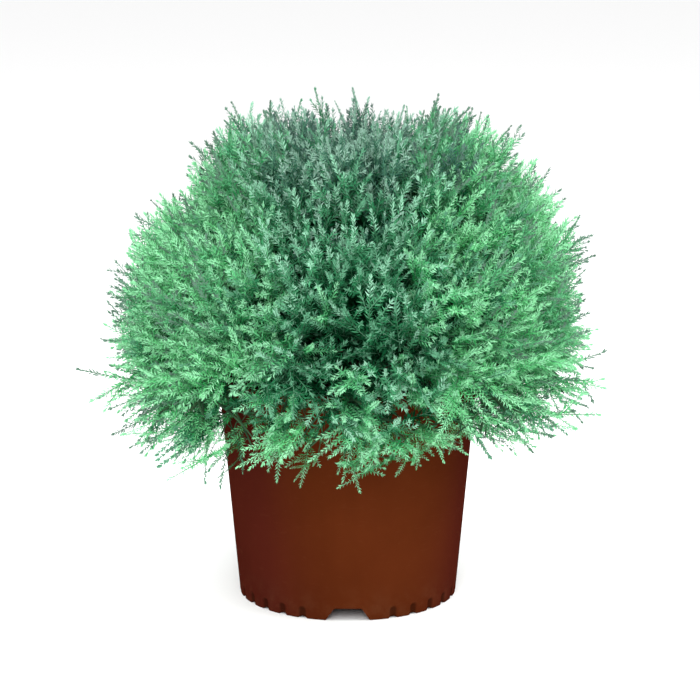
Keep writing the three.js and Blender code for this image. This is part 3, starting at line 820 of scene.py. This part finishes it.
stems = [stem_path(mass) for mass in masses]
stem_radii = tapered(BOUGH_TIP_RADIUS, STEM_TIP_RADIUS, STEM_STEPS)
wood = [(stem, stem_radii, GREEN_STEM * (mass.tier == "skirt")) for mass, stem in zip(masses, stems)]

twig_draw = random.Random(CROWN_SEED)
twig_radii = tapered(TWIG_RADIUS, TWIG_TIP_RADIUS, TWIG_STEPS)
twig_headings, twig_paths = [], []
for heading in evenly_spread(TWIG_COUNT):
    number = owner_of(heading)
    stem = stems[number]
    tip = CROWN_CENTRE + heading * TWIG_REACH[masses[number].tier] * reach(heading)
    if not clear_of_pot(tip):
        continue
    nearest = min(range(STEM_STEPS + 1), key=lambda i: (stem[i] - tip).length)
    root = stem[max(FIRST_JOINT, nearest - TWIG_SETBACK)]
    wander = Vector([twig_draw.uniform(-TWIG_WANDER, TWIG_WANDER) for _ in range(3)])
    path = slim_curve(root, (root + tip) / 2 + wander, tip, TWIG_STEPS)
    twig_headings.append(heading)
    twig_paths.append(path)
    wood.append((path, twig_radii, GREEN_TWIG * (heading.z < 0)))
twig_headings = np.array(twig_headings)

all_sprays = [
    (sort, length, side_shoots)
    for sort, (lengths, variants, _, _) in SPRAYS.items()
    for length in lengths
    for side_shoots in variants
]


def spray_kind(sort, length, pick):
    """One spray's number in all_sprays, of the size closest to a length, and its made length."""
    lengths, variants, _, _ = SPRAYS[sort]
    made_length = min(lengths, key=lambda made: abs(made - length))
    return all_sprays.index((sort, made_length, variants[0])) + int(pick * len(variants)), made_length


def outline_change(heading):
    """How far sprays stand out of the crown's outline: clumps all over, a lean to the right, a flat top."""
    x, _, z = heading
    clump = mathutils.noise.noise(heading * CLUMPS) + 0.6 * mathutils.noise.noise(heading * 2.3 * CLUMPS)
    shaggy = 0.035 + 0.045 * blend(0.25, 0.05, z) + 0.015 * blend(0.70, 0.85, z)
    left_hollow = 0.045 * band(z, 0.15, 0.40, 0.68, 0.80) * blend(0.3, -0.6, x)
    right_shoulder = 0.04 * band(z, 0.62, 0.72, 0.80, 0.90) * blend(0.2, 0.5, x)
    flat_top = (0.015 + 0.085 * blend(-0.25, -0.05, x)) * blend(0.88, 0.96, z)
    change = shaggy * clump - left_hollow + right_shoulder
    for flank, height in LOW_RECESSES:
        depth = min(1, 2 * max(0, 1 - abs(z - height) / RECESS_HALF))
        change -= RECESS_DEPTH * blend(0.60, 0.85, flank * x) * depth
    return change - flat_top


def tone_of(heading, sort, luck, mood, proud):
    """Which tone a spray has: greyer to the top; lighter tones low down, to the sides and on the shoulders,
    partly painted light; darker tones inside, at the parting and in the right hollow, painted shade.
    """
    x, y, z = heading
    out = abs(x)
    side = blend(0.18, 0.70, out)
    top = blend(0.45, 0.92, z) * blend(0.65, 0.25, out)
    low = blend(0.12, -0.12, z)
    parted = max(0.0, 1 - heading.angle(PARTING) / PARTING_SHADE)
    # Painted shade: the middle layer's sprays take the dark shade and deep tones, less of them to the sides.
    if sort == "shaded":
        dark = (1 - 0.7 * side) * (1 - 0.7 * blend(0.4, 0.7, out))
        return "shade" if luck < 0.7 - 0.7 * side else "deep" if luck < dark else "mint"
    ashen = 0.80 * blend(0.78, 0.94, z) * blend(0.62, 0.18, hypot(x + 0.03, 0.8 * y))
    if sort == "full" and mood < ashen:
        return "ashen"
    grown_out = sort == "plume" or sort == "full" and z > 0.1 and proud
    if side > 0.6 and grown_out or sort == "plume" and z > 0.7 and out > 0.25:
        return "tipped"
    if sort == "lace" and side > 0.6 and luck < 0.55:
        return "deep" if luck < 0.13 else "tipped"
    # Painted shade: deep tones around the parting and across the front.
    if mood < 0.03 + 0.24 * (1 - side) * (1 - low) + 0.55 * parted * (1 - low):
        return "deep"
    # Painted light: lighter tones to the sides, low down, on the shoulders and the right flank; painted shade
    # in the right hollow.
    painted_lightness = (0.36 + 0.56 * side + 0.24 * low) * (1 - top) + 0.01 * top + 0.3 * (luck - 0.5)
    shoulder = (0.2 + 0.15 * blend(0.1, 0.3, x)) * blend(0.15, 0.4, out) * band(z, 0.4, 0.6, 0.72, 0.92)
    right_flank = 0.14 * blend(0.35, 0.6, x)
    right_shade = 0.18 * band(x, 0.15, 0.3, 0.5, 0.65) * blend(0.4, 0.2, z) * (1 - low)
    painted_lightness = painted_lightness + shoulder + right_flank - right_shade
    return next((tone for tone, limit in TONE_LIGHTNESS_LIMITS if painted_lightness < limit), "bright")


def low_edge(heading):
    """A direction's place in the fringe over the rim: how far to the side it is, the phase and pull of the
    nearest tuft, how far into the fringe it is, and the share of shoots missing there."""
    x, y, z = heading
    sideways = abs(x) / hypot(x, y)
    frontal = blend(0.6, 0.4, sideways)
    opened = band(sideways, *FRINGE_OPEN) - 1.3 * blend(0.24, 0.12, sideways)
    by_rim = band(sideways, *RIM_GAP)
    phase = TUFTS_ROUND * (atan2(y, x) - FRONT - FIRST_TUFT)
    tuft = cos(phase) * frontal
    starts = FRINGE_STARTS + 0.08 * opened + RIM_GAP_LIFT * by_rim
    full = FRINGE_FULL + 0.06 * opened + RIM_GAP_LIFT * by_rim
    fringe = blend(starts, full, z + TUFT_DROP * tuft * frontal)
    missing = FRINGE_MISSING + 0.16 * by_rim - 0.14 * blend(0.56, 0.66, sideways) - 0.50 * tuft
    missing -= 0.16 * blend(0.75, 0.92, sideways)
    return sideways, phase, tuft, fringe, missing


Shoot = namedtuple("Shoot", "mass root forward flat size kind tone woody")
shoot_draw = random.Random(CROWN_SEED + 1)
shoots = []
for count, low_share, high_share, outer, lowest in SHOOT_LAYERS:
    for heading in evenly_spread(count):
        chance, tilt, side_turn, tip_share, variant, mood = [shoot_draw.random() for _ in range(6)]
        roll, place_on_twig, size, luck, lone = [shoot_draw.random() for _ in range(5)]
        x, _, z = heading
        if z < lowest:
            continue
        sideways, phase, tuft, fringe, missing = low_edge(heading)
        parted = max(0.0, 1 - heading.angle(PARTING) / PARTING_SPREAD)
        missing = (missing if outer else SHADED_MISSING) * fringe
        if chance < max(PARTING_MISSING * parted * (1 - fringe), missing):
            continue
        sort = "plume" if lone > FEWEST_PLUMES - 0.45 * blend(0.80, 0.93, z) else "full"
        if not outer:
            sort = "shaded"
        elif lone < fringe:
            sort = "lace" if sideways > LACE_FROM else "tassel"
        low = sort in LOW_SORTS
        trailing = low and z < TRAILING_BELOW and mood < 0.35 + 0.3 * tuft
        lean, proud = SPRAYS[sort][2:]
        lean = radians(lean) * tilt**0.8
        across = across_from(heading)
        turn = cos(2 * pi * side_turn)
        fanned = copysign(turn, sin(phase)) if sort == "tassel" else turn
        aside = across * fanned + heading.cross(across) * sin(2 * pi * side_turn)
        climb = TRAILING_FALL if trailing else SHOOT_RISE * blend(-0.15, 0.25, z) - FRINGE_SAG * fringe
        rise = UP * climb
        forward = (heading * cos(lean) + aside * sin(lean) + rise).normalized()
        if trailing:
            proud = 0.10 - 0.5 * (z - TRAILING_BELOW) * blend(0.5, 0.8, sideways)
        low_tips = 0.02 * blend(-0.27, -0.34, z) * blend(0.6, 0.8, sideways)
        right_gap = 0.09 * fringe * band(x, 0.2, 0.5, 0.7, 0.9)
        share = low_share + (high_share - low_share) * tip_share + proud + low_tips
        share += outline_change(heading) - right_gap
        tip = CROWN_CENTRE + heading * reach(heading) * share
        shortest, spare = LOW_LENGTH if low else HIGH_LENGTH
        length = shortest + spare * size
        root = tip - forward * length
        while length > SHORTEST_SPRAY and not all(
            clear_of_pot(root.lerp(tip, s), SPRAY_POT_GAP) for s in (0, 0.35, 0.7, 1)
        ):
            length *= SHORTENING
            root = tip - forward * length
        if length <= SHORTEST_SPRAY:
            continue
        twig = twig_paths[int(np.argmax(twig_headings @ np.array(heading)))]
        start = twig[FIRST_JOINT + int(SHOOT_JOINTS * place_on_twig)]
        path = slim_curve(start, (start + root) / 2 + rise * SHOOT_BEND, root, SHOOT_STEPS)
        thick = SHOOT_TIP_RADIUS if fringe > 0.3 else SHOOT_RADIUS
        wood.append((path, [thick] * SHOOT_STEPS + [SHOOT_TIP_RADIUS], 1))
        kind, made_length = spray_kind(sort, length, variant)
        spin = TASSEL_ROLL * (roll - 0.5) if sort == "tassel" else 2 * pi * roll
        flat = Matrix.Rotation(spin, 3, forward) @ square_to(forward, across)
        tone = tone_of(heading, sort, luck, mood, tip_share > PROUD_SHARE)
        mass = masses[owner_of(heading)]
        shoots.append(Shoot(mass.label, root, forward, flat, length / made_length, kind, tone, low))


def named_values(wire, name, kind):
    return wire.make("GeometryNodeInputNamedAttribute", {"Name": name}, data_type=kind)


wood_tree, given = tree_with("wood_along_paths", [("Sides", "Int"), ("Bark", "Material")])
lines = given["Geometry"]
curves = lines.make("GeometryNodeMeshToCurve", {"Mesh": lines})
inputs = {"Resolution": given["Sides"], "Radius": 1.0}
profile = lines.make("GeometryNodeCurvePrimitiveCircle", inputs, mode="RADIUS")
inputs = {"Curve": curves, "Profile Curve": profile, "Fill Caps": True}
inputs["Scale"] = named_values(lines, "thickness", "FLOAT")
swept = lines.make("GeometryNodeCurveToMesh", inputs)
close_tree(dressed(realized(swept), given["Bark"]))

twig_wood, surface, place = patterned("twig_wood", 0.8, 0.08)
patches = noise(place, 60, 3).step(0.35, 0.65)
feed(surface, "Base Color", marked(place, "young").tint(patches.tint(*OLD_WOOD), patches.tint(*GREEN_WOOD)))

line_verts, line_edges, line_radii, line_young = [], [], [], []
for path, radii, young in wood:
    line_edges += [(len(line_verts) + i, len(line_verts) + i + 1) for i in range(len(path) - 1)]
    line_verts += path
    line_radii += radii
    line_young += [young] * len(path)
line_mesh = bare_mesh("twig_paths", line_verts, edges=line_edges)
mark(line_mesh, "thickness", "FLOAT", line_radii)
mark(line_mesh, "young", "FLOAT", line_young)
twig_piece = grown("twigs", line_mesh, wood_tree, {"Sides": 4, "Bark": twig_wood})
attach(twig_piece, "root")

# The needle sprays: soft juvenile foliage, a green stalk with a few side shoots, each set with crossed
# pairs of short keeled needles that close up into a growing tip. Every shoot of the crown ends in one.
NEEDLE_KEEL = 0.0003
NEEDLE_WAIST = 0.42
NEEDLE_TWIST = radians(60)
NEEDLE_ROUGHNESS = 0.6
YOUNG_FROM = 0.72
SIDE_SHOOT_ANGLE = radians(42)
SIDE_SHOOT_BEND = 0.2
SIDE_STALK = 0.75
STALK_STEPS = 3
STALK_END = 0.97
STALK_TAPER = 0.4
SPRAY_SEED = 77
# Needles of each sort of spray: length, width, spacing, spread in degrees, length share of the crossing
# pairs, pairs in the tip, taper towards the tip, then the stalk's radius and sway
NEEDLES = {
    "full": (0.0078, 0.0013, 0.0019, 52, 0.90, 3, 0.35, 0.0005, 0.14),
    "plume": (0.0068, 0.0014, 0.0015, 44, 0.95, 4, 0.5, 0.0006, 0.14),
    "lace": (0.0076, 0.0017, 0.0020, 52, 0.85, 4, 0.3, 0.0006, 0.30),
    "tassel": (0.0060, 0.0011, 0.0017, 58, 0.80, 3, 0.3, 0.0005, 0.42),
    "shaded": (0.0090, 0.0022, 0.0034, 50, 0.92, 2, 0.3, 0.0005, 0.14),
}
AGES = ("old", "grown", "young")
# Base colours of the needles of each tone: old, grown, young. The shade and deep tones are painted shade for
# sprays inside the crown and in its hollows, and the darker old needles at a spray's base are partly older
# growth, partly painted shade.
TONES = {
    "bright": ((0.044, 0.340, 0.100), (0.145, 0.515, 0.220), (0.275, 0.645, 0.365)),
    "mint": ((0.026, 0.248, 0.076), (0.112, 0.432, 0.188), (0.248, 0.575, 0.340)),
    "silver": ((0.009, 0.112, 0.040), (0.072, 0.298, 0.145), (0.262, 0.525, 0.370)),
    "deep": ((0.005, 0.062, 0.022), (0.027, 0.168, 0.072), (0.120, 0.330, 0.200)),
    "shade": ((0.002, 0.042, 0.014), (0.008, 0.092, 0.034), (0.036, 0.165, 0.078)),
    "frost": ((0.007, 0.047, 0.027), (0.052, 0.150, 0.102), (0.250, 0.415, 0.330)),
    "tipped": ((0.028, 0.230, 0.076), (0.105, 0.385, 0.180), (0.125, 0.225, 0.165)),
    "ashen": ((0.011, 0.056, 0.040), (0.047, 0.132, 0.101), (0.084, 0.157, 0.128)),
}
YOUNG_STALK = ((0.045, 0.150, 0.075), (0.120, 0.290, 0.180))
WOODY_STALK = ((0.035, 0.115, 0.055), (0.070, 0.200, 0.100))


def needle_mesh(name, corners):
    """Needles of four corners each, as two triangles."""
    firsts = range(0, len(corners), 4)
    return bare_mesh(name, corners, [(n, n + i, n + i + 1) for n in firsts for i in (1, 2)])


def spray_meshes(seed, sort, length, side_shoots):
    """One spray along +Z, flat across X, root at the origin: its needles, and the stalks that carry them."""
    full_length, width, spacing, spread, crossing_share, tuft, taper, stalk, sway = NEEDLES[sort]
    draw = random.Random(seed)
    corners, ages, stalks = [], [], []
    droop = Vector((draw.uniform(-sway, sway), draw.uniform(-sway, sway), 0))

    def shoot(spot, forward, side, bend, extent, first, old_until, thick, steps):
        """A stalk, with needles in crossed pairs from a first share of its length up to a tuft at its tip."""
        count = max(3, int(extent * (1 - first) / spacing))
        shares = [first + (1 - first) * i / count for i in range(count)]
        shares += [1 - 0.5 * (spacing / extent) * (i + 1) / tuft for i in range(tuft)]
        for i, share in enumerate(shares):
            base = spot + forward * extent * share + bend * extent * share**2
            along = (forward + bend * 2 * share).normalized()
            across = square_to(along, side)
            lift = along.cross(across)
            at_tip = i >= count
            crossing = i % 2 == 1
            for half in (0, 1):
                angle = pi * half + (pi / 2 if crossing else 0) + draw.uniform(-0.3, 0.3)
                out = across * cos(angle) + lift * sin(angle)
                opened = 7 + 9 * (i - count) if at_tip else spread - 18 * share**3
                opened = radians(opened + draw.uniform(-8, 8))
                point = along * cos(opened) + out * sin(opened)
                long = full_length * (crossing_share if crossing and not at_tip else 1)
                long = long * (1 - taper * share**3) * draw.uniform(0.88, 1.12)
                twist = Matrix.Rotation(draw.uniform(-NEEDLE_TWIST, NEEDLE_TWIST), 3, point)
                wide = twist @ point.cross(along).normalized() * width / 2 * draw.uniform(0.85, 1.15)
                keel = wide.cross(point).normalized() * NEEDLE_KEEL
                waist = base + point * long * NEEDLE_WAIST + keel
                corners.extend([base, waist - wide, base + point * long, waist + wide])
                # Old needles at a spray's base take the darker colours: partly older growth, partly painted
                # shade inside the spray.
                ages.append(2 if at_tip or share > YOUNG_FROM else 0 if share < old_until else 1)
        shares = [i / steps for i in range(steps + 1)]
        points = [
            spot + forward * extent * s * STALK_END + bend * extent * (s * STALK_END) ** 2 for s in shares
        ]
        radii = [thick * (1 - STALK_TAPER * s) for s in shares]
        stalks.append(barked_limb(points, radii, sides=3, seed=3))

    plane = Vector((1, 0, 0))
    shoot(Vector(), UP, plane, droop, length, first=0.08, old_until=0.40, thick=stalk, steps=STALK_STEPS)
    for i in range(side_shoots):
        share = 0.10 + 0.42 * (i + draw.uniform(-0.3, 0.3)) / max(1, side_shoots - 1)
        spot = UP * length * share + droop * length * share**2
        turn = pi * (i % 2) + draw.uniform(-0.5, 0.5)
        out = Vector((cos(turn), sin(turn), 0))
        angle = SIDE_SHOOT_ANGLE * draw.uniform(0.8, 1.2)
        forward = (UP * cos(angle) + out * sin(angle)).normalized()
        extent = length * (0.52 - 0.36 * share) * draw.uniform(0.85, 1.15)
        side = forward.cross(Vector((-out.y, out.x, 0))).normalized()
        bend, thick = UP * SIDE_SHOOT_BEND, stalk * SIDE_STALK
        shoot(spot, forward, side, bend, extent, first=0.12, old_until=0.22, thick=thick, steps=1)
    needles = needle_mesh("spray", corners)
    mark(needles, "age", "INT", [age for age in ages for _ in range(2)], "FACE")
    return needles, bare_mesh("stalk", *joined(stalks))


def spray_tree(name, finish_count):
    """Places one kind of spray on each point and gives its needles the finish of their tone and age."""
    finishes = [f"Finish {i}" for i in range(finish_count)]
    tree, given = tree_with(name, [("Sprays", "Collection")] + [(label, "Material") for label in finishes])
    points = given["Geometry"]
    angles = named_values(points, "turned", "FLOAT_VECTOR")
    more = {"Instance Index": named_values(points, "kind", "INT")}
    more["Scale"] = named_values(points, "size", "FLOAT")
    result = realized(placed_on(points, given["Sprays"], angles, more))
    if finish_count == 1:
        close_tree(dressed(result, given[finishes[0]]))
        return tree
    number = named_values(points, "tone", "INT") * len(AGES) + named_values(points, "age", "INT")
    for i, label in enumerate(finishes):
        inputs = {0: number, 1: float(i), "Epsilon": 0.1}
        same = number.make("FunctionNodeCompare", inputs, data_type="FLOAT", operation="EQUAL")
        result = dressed(result, given[label], Selection=same)
    close_tree(result)
    return tree


def shoot_points(chosen):
    """A point at the root of each shoot, with the kind, turn, size and tone of its spray."""
    mesh = bare_mesh("shoots", [shoot.root for shoot in chosen])
    axes = [Matrix((shoot.flat, shoot.forward.cross(shoot.flat), shoot.forward)) for shoot in chosen]
    mark(mesh, "turned", "FLOAT_VECTOR", [angle for m in axes for angle in m.transposed().to_euler()])
    mark(mesh, "tone", "INT", [list(TONES).index(shoot.tone) for shoot in chosen])
    for name, kind in (("kind", "INT"), ("size", "FLOAT"), ("woody", "FLOAT")):
        mark(mesh, name, kind, [getattr(shoot, name) for shoot in chosen])
    return mesh


sprays = [spray_meshes(SPRAY_SEED + i, *spray) for i, spray in enumerate(all_sprays)]
needle_finishes = [
    finish(f"needles_{tone}_{age}", NEEDLE_ROUGHNESS, 0.0, colour)[0]
    for tone, colours in TONES.items()
    for age, colour in zip(AGES, colours)
]
needle_tree = spray_tree("needle_sprays", len(needle_finishes))
needle_values = {f"Finish {i}": material for i, material in enumerate(needle_finishes)}
needle_values["Sprays"] = kinds("spray", [needles for needles, _ in sprays], needle_finishes[0])
for tier, count, _, _ in TIERS:
    tier_labels = [mass.label for mass in masses if mass.tier == tier]
    half = (count + 1) // 2
    for first in range(0, count, half):
        group = tier if count == 1 else f"{tier}_b" if first else f"{tier}_a"
        labels = tier_labels[first : first + half]
        chosen = [shoot for shoot in shoots if shoot.mass in labels]
        needles = grown(f"needles_{group}", shoot_points(chosen), needle_tree, needle_values)
        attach(needles, "root")
        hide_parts(*[f"foliage_{label}" for label in labels])

green_stalk, surface, place = patterned("green_stalks", 0.6, 0.08)
shade = noise(place, 40, 2).step(0.35, 0.65)
feed(surface, "Base Color", marked(place, "woody").tint(shade.tint(*YOUNG_STALK), shade.tint(*WOODY_STALK)))
plain_tree = spray_tree("plain_sprays", 1)
stalk_kinds = kinds("stalk", [stalks for _, stalks in sprays], green_stalk)
stalk_values = {"Sprays": stalk_kinds, "Finish 0": green_stalk}
stalks = grown("spray_stalks", shoot_points(shoots), plain_tree, stalk_values)
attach(stalks, "root")

# The inner foliage: older sprays on the twigs deep in the crown, where little light comes, in one dark green
# that is painted shade.
# They are coarse, and close the crown behind the outer sprays.
INNER_SPRAYS = 1500
INNER_KINDS = 4
INNER_LENGTH = 0.060
INNER_REACH = (0.50, 0.26)
INNER_LOWEST = -0.05
INNER_LEAN = 1.1
INNER_POT_GAP = 0.010
INNER_NEEDLES = 26
INNER_NEEDLE_LENGTH = 0.015
INNER_NEEDLE_HALF = 0.0018
INNER_NEEDLE_WAIST = 0.45
INNER_SPREAD = 0.9
INNER_SHADE_GREEN = (0.004, 0.046, 0.016)
inner_draw = random.Random(CROWN_SEED + 2)


def inner_spray():
    corners = []
    for i in range(INNER_NEEDLES):
        base = UP * (INNER_LENGTH * (i + 0.5) / INNER_NEEDLES)
        out = Vector((cos(i * GOLDEN_ANGLE), sin(i * GOLDEN_ANGLE), 0))
        point = UP * cos(INNER_SPREAD) + out * sin(INNER_SPREAD)
        long = INNER_NEEDLE_LENGTH * inner_draw.uniform(0.8, 1.2)
        wide = Vector((-out.y, out.x, 0)) * INNER_NEEDLE_HALF
        waist = base + point * long * INNER_NEEDLE_WAIST
        corners += [base, waist - wide, base + point * long, waist + wide]
    return needle_mesh("inner", corners)


# Painted shade: one dark green for all the inner needles.
shade_green, _ = finish("shaded_needles", 0.7, 0.0, INNER_SHADE_GREEN)
inner_kinds = kinds("inner", [inner_spray() for _ in range(INNER_KINDS)], shade_green)
inner_shoots = []
for heading in evenly_spread(INNER_SPRAYS):
    share, lean, spin, kind = [inner_draw.random() for _ in range(4)]
    aside = Matrix.Rotation(2 * pi * spin, 3, heading) @ across_from(heading)
    tip = CROWN_CENTRE + heading * reach(heading) * (INNER_REACH[0] + INNER_REACH[1] * share)
    forward = (heading * cos(INNER_LEAN * lean) + aside * sin(INNER_LEAN * lean)).normalized()
    root = tip - forward * INNER_LENGTH
    free = all(clear_of_pot(root.lerp(tip, s), INNER_POT_GAP) for s in (0, 0.5, 1))
    if heading.z < INNER_LOWEST or not free:
        continue
    flat = square_to(forward, aside)
    inner_shoots.append(Shoot(None, root, forward, flat, 1.0, int(kind * INNER_KINDS), "shade", 0))
inner_values = {"Sprays": inner_kinds, "Finish 0": shade_green}
inner = grown("inner_needles", shoot_points(inner_shoots), plain_tree, inner_values)
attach(inner, "root")
